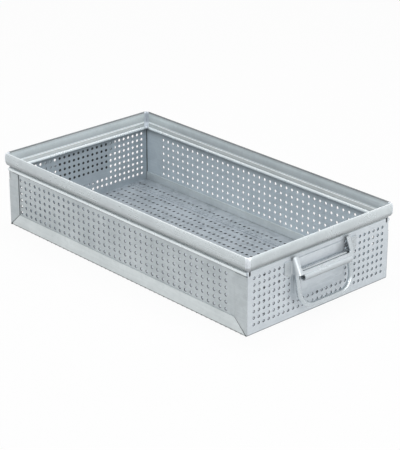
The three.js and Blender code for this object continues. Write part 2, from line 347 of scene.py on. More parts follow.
def lapped_put(x, y, face, sink):
    """The far sheet steps up over the near one in the lap."""
    rise = min(max((LAP_STEP_END - y) / LAP_STEP_LENGTH, 0.0), 1.0) * SHEET
    return (x, y, rise + (sink if face == 0 else SHEET - sink))


def floor_sheet(name, node, y_span, rows, put, cells=None):
    span = (-END_IN, END_IN)
    obj = perforated(name, span, y_span, FLOOR_X, rows, FLOOR_RADII, put, t_cells=cells)
    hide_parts(node)
    return obj


near_span = (-LONG_OUT, NEAR_FLOOR_END)
far_span = (FAR_FLOOR_START, LONG_OUT)
floors = [
    floor_sheet("floor_near", "floor_front", near_span, FLOOR_Y, flat_put),
    floor_sheet("floor_far", "floor_back", far_span, FLOOR_FAR_ROWS, lapped_put, FLOOR_FAR_CELLS),
]

# Strips outside the long walls

# Their ends are mitred, and the far strip stays below the far wall's lowest holes.
STRIP_HEIGHT, FAR_STRIP_HEIGHT = 18.0, 15.0
MITRE_SETBACK = 2.3


def strip(word, height, low):
    top = HALF_L - height - MITRE_SETBACK
    outline = [(-LONG_HALF, 0), (LONG_HALF, 0), (top, height), (-top, height)]
    obj = prism("strip_" + word, outline, "Y", low, low + SHEET)
    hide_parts("base_strip_" + word)
    return obj


strips = [strip("front", STRIP_HEIGHT, -HALF_W), strip("back", FAR_STRIP_HEIGHT, LONG_OUT)]

# Corner flanges: the end walls' edges folded round onto the long walls
FLANGE_WIDTH = 20.0
BEVEL_START, BEVEL_WIDTH = 63.0, 8.0

flange_in = HALF_L - FLANGE_WIDTH
FLANGE_FOOT = [(flange_in, SHEET_TOP), (flange_in, STRIP_HEIGHT + CLEARANCE), (HALF_L, CLEARANCE)]
SQUARE_FLANGE = FLANGE_FOOT + [(HALF_L, SHEET_TOP)]
BEVELLED_FLANGE = FLANGE_FOOT + [(HALF_L, BEVEL_START), (HALF_L - BEVEL_WIDTH, SHEET_TOP)]
flanges = []
for word, twin_word, shape, low in (
    ("front_right", "back_left", SQUARE_FLANGE, -HALF_W),
    ("back_right", "front_left", BEVELLED_FLANGE, LONG_OUT),
):
    one = prism("fold_" + word, shape, "Y", low, low + SHEET)
    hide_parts("corner_flange_" + word)
    two = half_turn(one, "fold_" + twin_word)
    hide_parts("corner_flange_" + twin_word)
    flanges += [one, two]

# The floor's upturned edges inside the long walls
FLOOR_EDGE_TOP = 12.0

edge_line = [(-LONG_HALF, SHEET), (LONG_HALF, SHEET)]
edge_line += [(LONG_HALF, FLOOR_EDGE_TOP), (-LONG_HALF, FLOOR_EDGE_TOP)]
edge_front = prism("edge_front", edge_line, "Y", -LONG_IN, SHEET - LONG_IN)
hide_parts("floor_edge_front")
edge_back = half_turn(edge_front, "edge_back")
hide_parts("floor_edge_back")

# Seams up the inner corners: thin near-black fillers, painted shade in the corner joints
SEAM_LEG, SEAM_OVERLAP = 1.1, 0.1
SEAM_LOW, SEAM_TOP = 2.0, 74.6
SEAM_SMOOTH = 35.0


def seam(word, end, side):
    x, y = END_IN + SEAM_OVERLAP, LONG_IN + SEAM_OVERLAP
    corners = [(x, y), (x - SEAM_LEG, y), (x, y - SEAM_LEG)]
    rings = [[(end * a, side * b, z) for a, b in corners] for z in (SEAM_LOW, SEAM_TOP)]
    return swept("seam_" + word, [rings], SEAM_SMOOTH)


seams = []
for end, end_word in ((1, "right"), (-1, "left")):
    for side, side_word in ((-1, "front"), (1, "back")):
        seams.append(seam(side_word + "_" + end_word, end, side))

# Rim

# The section runs from the wall over the slanting ledge, the lip and the roll down the bulging
# skirt, as shares of the rim's reach and rise.
RIM_REACH = 5.1
RIM_SHEET, WELD_SHEET = 0.98, 1.35
RIM_SHARES = [
    (-0.3, 0.1), (-0.3, 0.22), (0.04, 0.39), (0.12, 0.44), (0.35, 0.9), (0.45, 0.98), (0.58, 1.0),
    (0.72, 0.975), (0.86, 0.9), (0.96, 0.79), (1.0, 0.66), (0.95, 0.54), (0.8, 0.44), (0.62, 0.38),
]
RIM_SMOOTH_STEPS = 3
BEAD_R, BEAD_RISE = 2.9, 2.6
BEAD_SIDES = 28
RIM_ANGLE, WELD_ANGLE = 50.0, 40.0

# The rim's corners: the radius that they are rounded by, the share of it that the mitre is drawn
# in, and how far out the rounding starts and over how much it grows
CORNER_ROUND = 6.0
MITRE_SHARE = 0.29
ROUND_START, ROUND_GROWTH = 1.0, 3.6

# A rail's stations near each mitre, by their distance from it, and its even stretch between
RAIL_ENDS = [2.0, 3.0, 4.0, 5.0, 6.5, 9.0]
RAIL_MIDDLE = 12.0
RAIL_STRETCHES = 20

# A weld's length to each side of the mitre, its lumps, and where they start
WELD_HALF, WELD_STEPS = 4.4, 8
WELD_LUMP, WELD_LUMP_UP = 0.42, 0.6
WELD_GRAIN_OUT, WELD_GRAIN_UP, WELD_GRAIN_ALONG = 0.9, 0.7, 0.8
WELD_LUMPS_OUT, WELD_LUMPS_UP = 2.6, 84.0
WELD_TOP = HEIGHT - 0.1


def bead_section(reach):
    """The round bead on the wall's top edge, with a flat underneath, cut off at the reach."""
    out = []
    for k in range(BEAD_SIDES):
        a = 2 * math.pi * k / BEAD_SIDES
        rise = max(BEAD_RISE + BEAD_R * math.sin(a), 0.0)
        out.append((min(BEAD_R * math.cos(a) - SHEET / 2, reach), WALL_TOP + rise))
    return out


def smooth_line(points, steps):
    """Catmull-Rom through the points."""
    out = []
    for i in range(len(points) - 1):
        p0 = Vector(points[max(i - 1, 0)])
        p1 = Vector(points[i])
        p2 = Vector(points[i + 1])
        p3 = Vector(points[min(i + 2, len(points) - 1)])
        for k in range(steps):
            t = k / steps
            out.append(tuple(0.5 * (
                2 * p1 + (p2 - p0) * t + (2 * p0 - 5 * p1 + 4 * p2 - p3) * t * t
                + (3 * p1 - p0 - 3 * p2 + p3) * t * t * t
            )))
    out.append(tuple(points[-1]))
    return out


def thick(line, thickness):
    """The outline of a bent sheet along a line."""
    left, right = [], []
    for i, (a, b) in enumerate(line):
        p = Vector(line[max(i - 1, 0)])
        q = Vector(line[min(i + 1, len(line) - 1)])
        d = (q - p).normalized()
        left.append((a - d.y * thickness / 2, b + d.x * thickness / 2))
        right.append((a + d.y * thickness / 2, b - d.x * thickness / 2))
    return right + left[::-1]


def rounding(out, distance):
    """How far a rim's point is drawn in near the mitre, along the rail and across it."""
    weight = max(0.0, min(1.0, (out - ROUND_START) / ROUND_GROWTH))
    near = max(0.0, 1 - distance / CORNER_ROUND)
    return MITRE_SHARE * CORNER_ROUND * weight * near ** 2


rim_out, rim_up = RIM_REACH - SHEET / 2, HEIGHT - WALL_TOP - SHEET / 2
rim_points = [(rim_out * a, WALL_TOP + rim_up * b) for a, b in RIM_SHARES]
RIM_LINE = smooth_line(rim_points, RIM_SMOOTH_STEPS)
STATIONS = [(-1, d) for d in RAIL_ENDS]
STATIONS += [(share, RAIL_MIDDLE) for share in spaced(-1, 1, RAIL_STRETCHES + 1)]
STATIONS += [(1, d) for d in reversed(RAIL_ENDS)]


def rim_rail(word, wall, corner, bead_reach, turn):
    """A rail from mitre to mitre, made along Y beyond the wall and turned to its side."""
    def ring(section, share, distance):
        drawn = [(out - rounding(out, distance), up) for out, up in section]
        return [(wall + out, share * (corner + out - distance), up) for out, up in drawn]

    bodies = []
    for section in (thick(RIM_LINE, RIM_SHEET), bead_section(bead_reach)):
        bodies.append([ring(section, share, distance) for share, distance in STATIONS])
    obj = swept("rail_" + word, bodies, RIM_ANGLE)
    obj.data.transform(Matrix.Rotation(turn, 4, "Z"))
    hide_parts("rim_rail_" + word)
    return obj


rail_right = rim_rail("right", HALF_L, LONG_OUT, 0.0, 0.0)
rail_left = rim_rail("left", HALF_L, LONG_OUT, 0.0, math.pi)
rail_back = rim_rail("back", LONG_OUT, HALF_L, BEAD_R, math.pi / 2)
rail_front = rim_rail("front", LONG_OUT, HALF_L, BEAD_R, -math.pi / 2)
rails = [rail_right, rail_left, rail_back, rail_front]


def rim_weld(word, end, side, seed):
    """Lumpy weld over the mitre. Each side of the diagonal follows its own rail."""
    def point(out, up, share):
        along = share * WELD_HALF
        grain = (out * WELD_GRAIN_OUT, up * WELD_GRAIN_UP, seed + along * WELD_GRAIN_ALONG)
        lump = WELD_LUMP * noise.noise(Vector(grain)) * (1 - abs(share) ** 3)
        a = min(out + lump, RIM_REACH) if out > WELD_LUMPS_OUT else out
        a -= rounding(out, abs(along))
        x = end * (HALF_L + a - max(0.0, -along))
        y = side * (LONG_OUT + a - max(0.0, along))
        z = min(up + lump * WELD_LUMP_UP, WELD_TOP) if up > WELD_LUMPS_UP else up
        return (x, y, z)

    bodies = []
    for section in (thick(RIM_LINE, WELD_SHEET), bead_section(0.0)):
        shares = spaced(-1, 1, WELD_STEPS + 1)
        bodies.append([[point(out, up, share) for out, up in section] for share in shares])
    obj = swept("weld_" + word, bodies, WELD_ANGLE)
    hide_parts("rim_weld_" + word)
    return obj


welds = [
    rim_weld("front_right", end=1, side=-1, seed=3),
    rim_weld("back_left", end=-1, side=1, seed=11),
    rim_weld("back_right", end=1, side=1, seed=17),
    rim_weld("front_left", end=-1, side=-1, seed=23),
]

# Handle plates
plate_line = round_footed(PLATE_LEFT, PLATE_RIGHT, PLATE_LOW, SHEET_TOP, PLATE_CORNER)
plate_right = prism("plate_right", plate_line, "X", HALF_L, HALF_L + SHEET, PLATE_EDGE)
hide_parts("handle_plate_right")
plate_left = half_turn(plate_right, "plate_left")
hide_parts("handle_plate_left")

# Handle brackets

# One bent sheet has flanges on the wall, cheeks, a front that slants out towards its foot, and a
# foot that is curled round to a tube.
BRACKET_SHEET = 1.2
BRACKET_TOP, BRACKET_FOOT, CHEEK_TOP = 78.5, 57.5, SHEET_TOP
BRACKET_TOP_REACH, BRACKET_FOOT_REACH = 3.5, 12.4
BRACKET_ROWS = 14
BRACKET_ANGLE, BRACKET_EDGE, BRACKET_EDGE_ANGLE = 60.0, 0.2, 40.0

# Plan line of one side, from the flange's end to the front: Y and the share of the depth
BRACKET_SIDE = [
    (-60.6, 0.0), (-52.0, 0.0), (-50.2, 0.0), (-49.0, 0.06), (-48.4, 0.2), (-48.4, 0.4), (-48.35, 0.56),
    (-48.15, 0.7), (-47.6, 0.83), (-46.6, 0.93), (-45.2, 0.985), (-43.6, 1.0), (-41.0, 1.0),
]
FRONT_HALF, FRONT_STRETCHES = 40.0, 20
CHEEK_SHARE = 0.5

# The bracket's flanges reach lower and have a round lower corner.
BRACKET_FLANGE_IN, BRACKET_FLANGE_LOW = 49.2, 54.0
BRACKET_CORNER_START, BRACKET_CORNER = 55.6, 5.0

# The tube's middle and radius, and the curl that makes it
CURL_OUT, CURL_UP, CURL_RADIUS = 11.0, 54.0, 4.5
CURL_START, CURL_SWEEP, CURL_STEPS = 78, 318, 22

# The window is cut through the front, from just behind it to well before it.
WINDOW_HALF, WINDOW_LOW, WINDOW_TOP, WINDOW_CORNER = 41.0, 61.0, 90.0, 3.0
WINDOW_BACK, WINDOW_FRONT = 1.6, 20.0


def bracket_reach(z):
    fall = (BRACKET_TOP - z) / (BRACKET_TOP - BRACKET_FOOT)
    return BRACKET_TOP_REACH + (BRACKET_FOOT_REACH - BRACKET_TOP_REACH) * fall


def bracket_low(edge):
    """The lower end of the bracket's sheet, by the distance from its middle."""
    if edge > BRACKET_CORNER_START:
        beyond = (edge - BRACKET_CORNER_START) ** 2
        return BRACKET_FLANGE_LOW + BRACKET_CORNER - math.sqrt(max(BRACKET_CORNER ** 2 - beyond, 0.0))
    return BRACKET_FLANGE_LOW if edge > BRACKET_FLANGE_IN else BRACKET_FOOT


def bracket_skin():
    """The middle surface of the bent sheet: one upright line of points for each plan point, and
    one level line for each step of the curl."""
    mid = BRACKET_SHEET / 2
    plan = BRACKET_SIDE + [(y, 1.0) for y in spaced(-FRONT_HALF, FRONT_HALF, FRONT_STRETCHES + 1)]
    plan += [(-y, share) for y, share in reversed(BRACKET_SIDE)]
    verts, lines = [], []
    for y, share in plan:
        low = bracket_low(abs(y))
        high = BRACKET_TOP if share > CHEEK_SHARE else CHEEK_TOP
        lines.append(range(len(verts), len(verts) + BRACKET_ROWS + 1))
        for z in spaced(low, high, BRACKET_ROWS + 1):
            verts.append((HALF_L + mid + (bracket_reach(z) - BRACKET_SHEET) * share, y, z))
    faces = []
    for one, two in zip(lines, lines[1:]):
        faces += [(one[k], one[k + 1], two[k + 1], two[k]) for k in range(BRACKET_ROWS)]

    front = [i for i, (y, share) in enumerate(plan) if abs(y) <= FRONT_HALF]
    previous = [lines[i][0] for i in front]
    radius = CURL_RADIUS - mid
    for k in range(1, CURL_STEPS + 1):
        a = math.radians(CURL_START - CURL_SWEEP * k / CURL_STEPS)
        level = list(range(len(verts), len(verts) + len(front)))
        out, up = HALF_L + CURL_OUT + radius * math.cos(a), CURL_UP + radius * math.sin(a)
        verts += [(out, plan[i][0], up) for i in front]
        for m in range(len(level) - 1):
            faces.append((previous[m], previous[m + 1], level[m + 1], level[m]))
        previous = level
    return verts, faces


def bracket(name):
    obj = make(name, *bracket_skin(), BRACKET_ANGLE)
    solid = obj.modifiers.new("sheet", "SOLIDIFY")
    solid.thickness = BRACKET_SHEET * MM
    solid.offset = 0
    solid.use_even_offset = True
    settle(obj)
    line = round_footed(-WINDOW_HALF, WINDOW_HALF, WINDOW_LOW, WINDOW_TOP, WINDOW_CORNER)
    cutter = prism("cutter", line, "X", HALF_L + WINDOW_BACK, HALF_L + WINDOW_FRONT, 0)
    cut = obj.modifiers.new("window", "BOOLEAN")
    cut.operation = "DIFFERENCE"
    cut.solver = "EXACT"
    cut.object = cutter
    settle(obj)
    bpy.data.objects.remove(cutter, do_unlink=True)
    bevel(obj, BRACKET_EDGE, 1)
    shade(obj, BRACKET_EDGE_ANGLE)
    return obj


bracket_right = bracket("bracket_right")
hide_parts("handle_bracket_right")
bracket_left = half_turn(bracket_right, "bracket_left")
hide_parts("handle_bracket_left")

# Bails: a closed loop of wire about its joint, that leans out from the wall at rest
BAIL_OUT, BAIL_UP = 4.6, 59.0
BAIL_HALF, BAIL_DROP = 44.05, 44.7
BAIL_TOP_CORNER, BAIL_LOW_CORNER = 4.5, 22.0
BAIL_TOP_STEPS, BAIL_LOW_STEPS = 10, 16
BAIL_STRETCH = 6.0
BAIL_WIRE, BAIL_SIDES = 3.2, 24
BAIL_ANGLE = 60.0
LEAN = math.radians(10)


def bail_line():
    """Middle line of the loop and its outward direction: (y, z, out_y, out_z)."""
    line = []
    for side, corner, drop, start, steps in (
        (1, BAIL_TOP_CORNER, BAIL_TOP_CORNER, 0, BAIL_TOP_STEPS),
        (-1, BAIL_TOP_CORNER, BAIL_TOP_CORNER, 90, BAIL_TOP_STEPS),
        (-1, BAIL_LOW_CORNER, BAIL_DROP - BAIL_LOW_CORNER, 180, BAIL_LOW_STEPS),
        (1, BAIL_LOW_CORNER, BAIL_DROP - BAIL_LOW_CORNER, 270, BAIL_LOW_STEPS),
    ):
        for a in [math.radians(start + 90 * k / steps) for k in range(steps + 1)]:
            y = side * (BAIL_HALF - corner) + corner * math.cos(a)
            line.append((y, corner * math.sin(a) - drop, math.cos(a), math.sin(a)))
    full = []
    for i, here in enumerate(line):
        ahead = line[(i + 1) % len(line)]
        parts = int(math.dist(here[:2], ahead[:2]) // BAIL_STRETCH) + 1
        full += [tuple(p + (q - p) * k / parts for p, q in zip(here, ahead)) for k in range(parts)]
    return full


def bail(name):
    rings = []
    for y, z, out_y, out_z in bail_line():
        scale = BAIL_WIRE / math.hypot(out_y, out_z)
        ring = []
        for k in range(BAIL_SIDES):
            a = 2 * math.pi * k / BAIL_SIDES
            out, deep = math.cos(a) * scale, math.sin(a) * BAIL_WIRE
            high = z + out_z * out
            ring.append((
                HALF_L + BAIL_OUT + deep * math.cos(LEAN) - high * math.sin(LEAN),
                y + out_y * out,
                BAIL_UP + deep * math.sin(LEAN) + high * math.cos(LEAN),
            ))
        rings.append(ring)
    return swept(name, [rings], BAIL_ANGLE, closed=True)


bail_right = bail("bail_right")
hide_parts("handle_bail_right")
bail_left = half_turn(bail_right, "bail_left")
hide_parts("handle_bail_left")


# Materials

class Paint:
    """A node tree, with short ways to add nodes and to join them."""

    def __init__(self, tree):
        self.nodes = tree.nodes
        self.links = tree.links
        self.nodes.clear()

    def node(self, kind, inputs, **settings):
        """Adds a node. An input is a plain value, or another node's output to join it to."""
        made = self.nodes.new(kind)
        for key, value in settings.items():
            setattr(made, key, value)
        for key, value in inputs.items():
            if isinstance(value, bpy.types.NodeSocket):
                self.links.new(value, made.inputs[key])
            else:
                made.inputs[key].default_value = value
        return made

    def maths(self, kind, a, b):
        return self.node("ShaderNodeMath", {0: a, 1: b}, operation=kind).outputs[0]

    def weighted(self, terms):
        """The sum of values, each times its weight."""
        parts = [self.maths("MULTIPLY", value, weight) for value, weight in terms]
        total = parts[0]
        for part in parts[1:]:
            total = self.maths("ADD", total, part)
        return total

    def ranged(self, value, low, high, to_low, to_high):
        ends = {"From Min": low, "From Max": high, "To Min": to_low, "To Max": to_high}
        return self.node("ShaderNodeMapRange", {"Value": value, **ends}).outputs["Result"]

    def noisy(self, place, stretch, scale, detail, rough=0.5):
        """Noise by the place on the object, stretched by a scale for each axis."""
        vector = self.node("ShaderNodeMapping", {"Vector": place, "Scale": stretch}).outputs["Vector"]
        inputs = {"Vector": vector, "Scale": scale, "Detail": detail, "Roughness": rough}
        return self.node("ShaderNodeTexNoise", inputs).outputs["Fac"]

    def mixed(self, factor, one, two, blend="MIX"):
        """Mixes two colours. Sockets 6 and 7 are the mix node's colour inputs."""
        inputs = {"Factor": factor, 6: one, 7: two}
        return self.node("ShaderNodeMix", inputs, data_type="RGBA", blend_type=blend).outputs[2]

    def toned(self, colour, value, low, high, stops):
        """Multiplies a colour by a grey that changes with the value, by stops of value and grey."""
        ramp = self.node("ShaderNodeValToRGB", {"Fac": self.ranged(value, low, high, 0.0, 1.0)})
        elements = ramp.color_ramp.elements
        while len(elements) < len(stops):
            elements.new(0.5)
        for element, (stop, grey) in zip(elements, stops):
            element.position = (stop - low) / (high - low)
            element.color = (grey, grey, grey, 1)
        return self.mixed(1.0, colour, ramp.outputs["Color"], "MULTIPLY")

    def upward(self, vector):
        return self.node("ShaderNodeSeparateXYZ", {"Vector": vector}).outputs["Z"]

    def seen(self, share):
        """The share of white that a camera, glossy or transmission ray sees, and none by others."""
        path = self.node("ShaderNodeLightPath", {})
        total = path.outputs["Is Camera Ray"]
        for kind in ("Is Glossy Ray", "Is Transmission Ray"):
            total = self.maths("MAXIMUM", total, path.outputs[kind])
        return self.maths("MULTIPLY", total, share)


def new_material(name):
    mat = bpy.data.materials.new(name)
    mat.use_nodes = True
    return mat, Paint(mat.node_tree)


# Zinc plating

# Clouds, grain, crystal cells and fine streaks, with the scale of each. The bump's depth is in
# metres.
CLOUDS, GRAIN, CELLS, STREAKS = 24, 620, 170, 1.6
CLOUD_DETAIL, FINE_DETAIL, FINE_ROUGH = 4, 3, 0.6
STREAK_ALONG, STREAK_ACROSS = 12, 420
CLOUD_SHARE, STREAK_SHARE, CELL_SHARE, GRAIN_SHARE = 0.55, 0.3, 0.12, 0.1
TONE_LOW, TONE_HIGH = 0.35, 0.75
ROUGHER, SMOOTHER = 0.08, 0.06
BUMP_DEPTH = 0.0006
BUMP_CLOUDS, BUMP_FINE = 1.5, 0.5


def zinc(name, light, dark, rough, metal=0.45, along="X", mottle=1.0, bump=0.05, painted_light_facing=None, height=None):
    """A zinc finish between a light and a dark colour. Stops under painted_light_facing paint light and
    shade by how far a surface faces up, and stops under height paint light and shade by the height on the
    object."""
    mat, paint = new_material(name)
    coords = paint.node("ShaderNodeTexCoord", {}).outputs["Object"]
    even = (1, 1, 1)
    stretch = [STREAK_ALONG if axis == along else STREAK_ACROSS for axis in "XYZ"]
    clouds = paint.noisy(coords, even, CLOUDS, CLOUD_DETAIL)
    grain = paint.noisy(coords, even, GRAIN, FINE_DETAIL, FINE_ROUGH)
    streaks = paint.noisy(coords, stretch, STREAKS, FINE_DETAIL, FINE_ROUGH)
    cells = paint.node("ShaderNodeTexVoronoi", {"Vector": coords, "Scale": CELLS}).outputs["Color"]
    cell_tone = paint.node("ShaderNodeRGBToBW", {"Color": cells}).outputs["Val"]

    spots = [(cell_tone, CELL_SHARE * mottle), (grain, GRAIN_SHARE * mottle)]
    tone = paint.weighted([(clouds, CLOUD_SHARE), (streaks, STREAK_SHARE), *spots])
    colour = paint.mixed(paint.ranged(tone, TONE_LOW, TONE_HIGH, 0.0, 1.0), (*dark, 1), (*light, 1))
    if height:
        stops = [(up * MM, grey) for up, grey in height]
        colour = paint.toned(colour, paint.upward(coords), stops[0][0], stops[-1][0], stops)
    if painted_light_facing:
        normal = paint.node("ShaderNodeNewGeometry", {}).outputs["Normal"]
        colour = paint.toned(colour, paint.upward(normal), -1.0, 1.0, painted_light_facing)

    relief = paint.weighted([(streaks, BUMP_FINE), (grain, BUMP_FINE), (clouds, BUMP_CLOUDS)])
    bumped = paint.node("ShaderNodeBump", {"Strength": bump, "Distance": BUMP_DEPTH, "Height": relief})
    finish = paint.node("ShaderNodeBsdfPrincipled", {
        "Base Color": colour,
        "Metallic": metal,
        "Roughness": paint.ranged(tone, TONE_LOW, TONE_HIGH, rough + ROUGHER, rough - SMOOTHER),
        "Normal": bumped.outputs["Normal"],
    })
    paint.node("ShaderNodeOutputMaterial", {"Surface": finish.outputs["BSDF"]})
    return mat


def paint_all(pieces, mat):
    for obj in pieces:
        obj.data.materials.clear()
        obj.data.materials.append(mat)


def repaint(obj, mat, chosen):
    """Gives the chosen faces of a piece a finish of their own, over any earlier one."""
    obj.data.materials.append(mat)
    for face in obj.data.polygons:
        if chosen(face):
            face.material_index = len(obj.data.materials) - 1


# Painted light and shade: tones by how far a surface faces up, from -1 to 1
RIM_PAINTED_LIGHT = [(-0.7, 0.28), (-0.3, 0.55), (-0.05, 0.9), (0.3, 1.04), (0.62, 1.1), (0.85, 1.5)]
BEAD_PAINTED_LIGHT = [(-0.9, 0.25), (-0.45, 0.6), (0.0, 1.25), (0.6, 1.3), (1.0, 1.1)]
BRACKET_PAINTED_LIGHT = [(-0.8, 0.4), (-0.2, 0.8), (0.4, 1.0), (0.9, 1.25)]

# Painted light and shade by height: shade in the corner under the bead, highlight and shade bands on the
# rim's inside, and shade along the lower edges
PAINTED_SHADE_UNDER_BEAD = [(66.0, 1.0), (70.0, 0.86), (74.8, 0.5)]
RIM_PAINTED_BANDS = [
    (78.0, 0.55), (81.5, 0.82), (84.2, 0.72), (85.2, 1.7), (86.2, 1.6), (87.2, 0.92),
    (92.0, 1.12), (95.5, 1.3), (97.6, 1.0), (99.0, 0.8),
]
END_PAINTED_FOOT_SHADE = [(0.0, 0.35), (0.7, 0.5), (1.4, 1.0), (75.0, 1.0)]
STRIP_PAINTED_FOOT_SHADE = [(0.0, 0.3), (0.8, 0.4), (1.5, 1.0), (19.0, 1.0)]

# Sheets
long_zinc = zinc("zinc_long_wall", light=(0.62, 0.67, 0.69), dark=(0.46, 0.505, 0.525), rough=0.42)
# The far long wall's inside: a lighter copy of the wall zinc, painted light, with painted shade under the
# bead
inner_wall_painted_light_and_shade = zinc(
    "zinc_inner_wall_painted_light_and_shade", light=(0.79, 0.865, 0.91), dark=(0.62, 0.69, 0.735), rough=0.40, height=PAINTED_SHADE_UNDER_BEAD,
)
# The far end wall's inside: a darker copy of the end zinc, painted shade, also under the bead
end_inner_painted_shade = zinc(
    "zinc_inner_end_painted_shade", light=(0.56, 0.62, 0.665), dark=(0.44, 0.49, 0.53), rough=0.40, along="Y",
    height=PAINTED_SHADE_UNDER_BEAD,
)
# The end walls' zinc, with a painted shade line along their foot
end_zinc = zinc(
    "zinc_end_wall", light=(0.73, 0.78, 0.82), dark=(0.59, 0.64, 0.68), rough=0.40, along="Y",
    height=END_PAINTED_FOOT_SHADE,
)
floor_zinc = zinc(
    "zinc_floor", light=(0.59, 0.635, 0.68), dark=(0.31, 0.35, 0.385), rough=0.38, mottle=2.2, bump=0.1,
)
# The strips' zinc, with a painted shade line along their foot
strip_zinc = zinc(
    "zinc_strip", light=(0.80, 0.85, 0.86), dark=(0.64, 0.69, 0.70), rough=0.38, height=STRIP_PAINTED_FOOT_SHADE,
)

# Rim and welds, with light and shade painted by how far a surface faces up
rim_zinc = zinc(
    "zinc_rim", light=(0.76, 0.82, 0.84), dark=(0.58, 0.63, 0.65), rough=0.26, mottle=0.7,
    painted_light_facing=RIM_PAINTED_LIGHT,
)
# Painted highlight and shade bands by height for the rim's inside
rim_inside_painted_light = zinc(
    "zinc_rim_inside_painted_light", light=(0.78, 0.83, 0.84), dark=(0.60, 0.65, 0.66), rough=0.34, mottle=0.9,
    height=RIM_PAINTED_BANDS,
)
# A painted dark reflection along the far rails' top
rim_painted_dark_reflection = zinc("zinc_rim_painted_dark_reflection", light=(0.30, 0.32, 0.33), dark=(0.20, 0.22, 0.23), rough=0.5, mottle=0.6)
# A painted highlight: the bead is a brighter copy of the rim zinc
bead_painted_highlight = zinc(
    "zinc_bead_painted_highlight", light=(0.78, 0.83, 0.85), dark=(0.66, 0.71, 0.73), rough=0.24, mottle=0.5,
    painted_light_facing=BEAD_PAINTED_LIGHT,
)
weld_zinc = zinc(
    "zinc_weld", light=(0.84, 0.89, 0.94), dark=(0.50, 0.54, 0.58), rough=0.36, along="Z", mottle=2.4,
    bump=0.6, painted_light_facing=RIM_PAINTED_LIGHT,
)

# Handles; the bracket has light and shade painted by how far a surface faces up
bracket_zinc = zinc(
    "zinc_bracket", light=(0.76, 0.81, 0.84), dark=(0.58, 0.63, 0.66), rough=0.24, along="Y",
    mottle=0.4, bump=0.02, painted_light_facing=BRACKET_PAINTED_LIGHT,
)
wire_zinc = zinc(
    "zinc_wire", light=(0.70, 0.75, 0.78), dark=(0.50, 0.55, 0.58), rough=0.18, metal=0.75, along="Y",
    mottle=0.6,
)

# Painted shade: near-black cut edges, partly their bare steel and partly shade in holes and gaps, and
# backs that no light reaches
cut_edge_and_painted_shade = zinc(
    "zinc_cut_edge_and_painted_shade", light=(0.07, 0.08, 0.085), dark=(0.03, 0.035, 0.04), rough=0.6, metal=0.2, along="Z",
)
painted_shade_back = zinc(
    "zinc_painted_shade_back", light=(0.04, 0.045, 0.05), dark=(0.02, 0.022, 0.025), rough=0.6, metal=0.2,
    along="Y",
)

paint_all([wall_front, *flanges], long_zinc)
paint_all([wall_back], inner_wall_painted_light_and_shade)
paint_all([wall_left, wall_right, plate_right, plate_left], end_zinc)
paint_all(floors, floor_zinc)
paint_all([*strips, edge_front, edge_back], strip_zinc)
paint_all(rails, rim_zinc)
paint_all(welds, weld_zinc)
paint_all(seams, cut_edge_and_painted_shade)
paint_all([bracket_right, bracket_left], bracket_zinc)
paint_all([bail_right, bail_left], wire_zinc)

# The punched edges of the walls' holes, the flanges' free edges and the strips' mitred ends are
# near-black: partly the bare cut edge,
# # partly painted shade in the holes and in the gaps beside the edges.
ALONG_WALL = 0.7
EDGE_ON = 0.75
MITRED = 0.3

for obj in (wall_front, wall_back):
    repaint(obj, cut_edge_and_painted_shade, lambda face: abs(face.normal.y) < ALONG_WALL)
for obj in (wall_left, wall_right):
    repaint(obj, cut_edge_and_painted_shade, lambda face: abs(face.normal.x) < ALONG_WALL)
for obj in flanges:
    repaint(obj, cut_edge_and_painted_shade, lambda face: abs(face.normal.y) < EDGE_ON and abs(face.center.x) < END_IN * MM)
for obj in strips:
    repaint(obj, cut_edge_and_painted_shade, lambda face: abs(face.normal.y) < EDGE_ON and abs(face.normal.x) > MITRED)

# The far long wall has the near one's finish outside and a lighter copy of it inside, painted light; the
# far end wall's inside is a darker copy of the end finish, painted shade.
repaint(wall_back, long_zinc, lambda face: face.normal.y > ALONG_WALL)
repaint(wall_left, end_inner_painted_shade, lambda face: face.normal.x > ALONG_WALL)

# The rim's inner faces get painted bands of highlight and shade by height, and the two far rails a painted
# dark reflection along their top.
# The bead gets a painted highlight as the rim's brightest part. On the end walls it is flush outside, in
# their finish.
LIP_OUT, LIP_TOP = 2.5, 99.2
TOP_LINE = 98.3
BEAD_TOP = WALL_TOP + BEAD_RISE + BEAD_R
BEAD_FACE_TOP = 80.6
FLUSH, FLUSH_OUT = 0.99, -0.1


def paint_rail(obj, axis, wall):
    def out(face):
        return abs(face.center[axis]) / MM - wall

    def inside(face):
        return out(face) < LIP_OUT and face.center.z / MM < LIP_TOP

    def along_top(face):
        return face.center.z / MM > TOP_LINE

    def on_bead(face):
        low = max(obj.data.vertices[v].co.z for v in face.vertices) < BEAD_FACE_TOP * MM
        return low and face.center.z / MM < BEAD_TOP

    def flush(face):
        return on_bead(face) and abs(face.normal.x) > FLUSH and out(face) > FLUSH_OUT

    repaint(obj, rim_inside_painted_light, inside)
    if obj in (rail_left, rail_back):
        repaint(obj, rim_painted_dark_reflection, along_top)
    repaint(obj, bead_painted_highlight, on_bead)
    if obj in (rail_left, rail_right):
        repaint(obj, end_zinc, flush)


for obj in (rail_right, rail_left):
    paint_rail(obj, 0, HALF_L)
for obj in (rail_back, rail_front):
    paint_rail(obj, 1, LONG_OUT)

# Painted shade: a plate's back lies dark against its wall, and the bracket's sleeves are dark inside.
BACKWARD, INWARD = 0.9, 0.5
SLEEVE_IN, SLEEVE_OUT = 40.8, 1.5


def in_sleeve(face):
    return abs(face.center.y) > SLEEVE_IN * MM and abs(face.center.x) > (HALF_L + SLEEVE_OUT) * MM


repaint(plate_right, painted_shade_back, lambda face: face.normal.x < -BACKWARD)
repaint(plate_left, painted_shade_back, lambda face: face.normal.x > BACKWARD)
repaint(bracket_right, painted_shade_back, lambda face: face.normal.x < -INWARD and in_sleeve(face))
repaint(bracket_left, painted_shade_back, lambda face: face.normal.x > INWARD and in_sleeve(face))

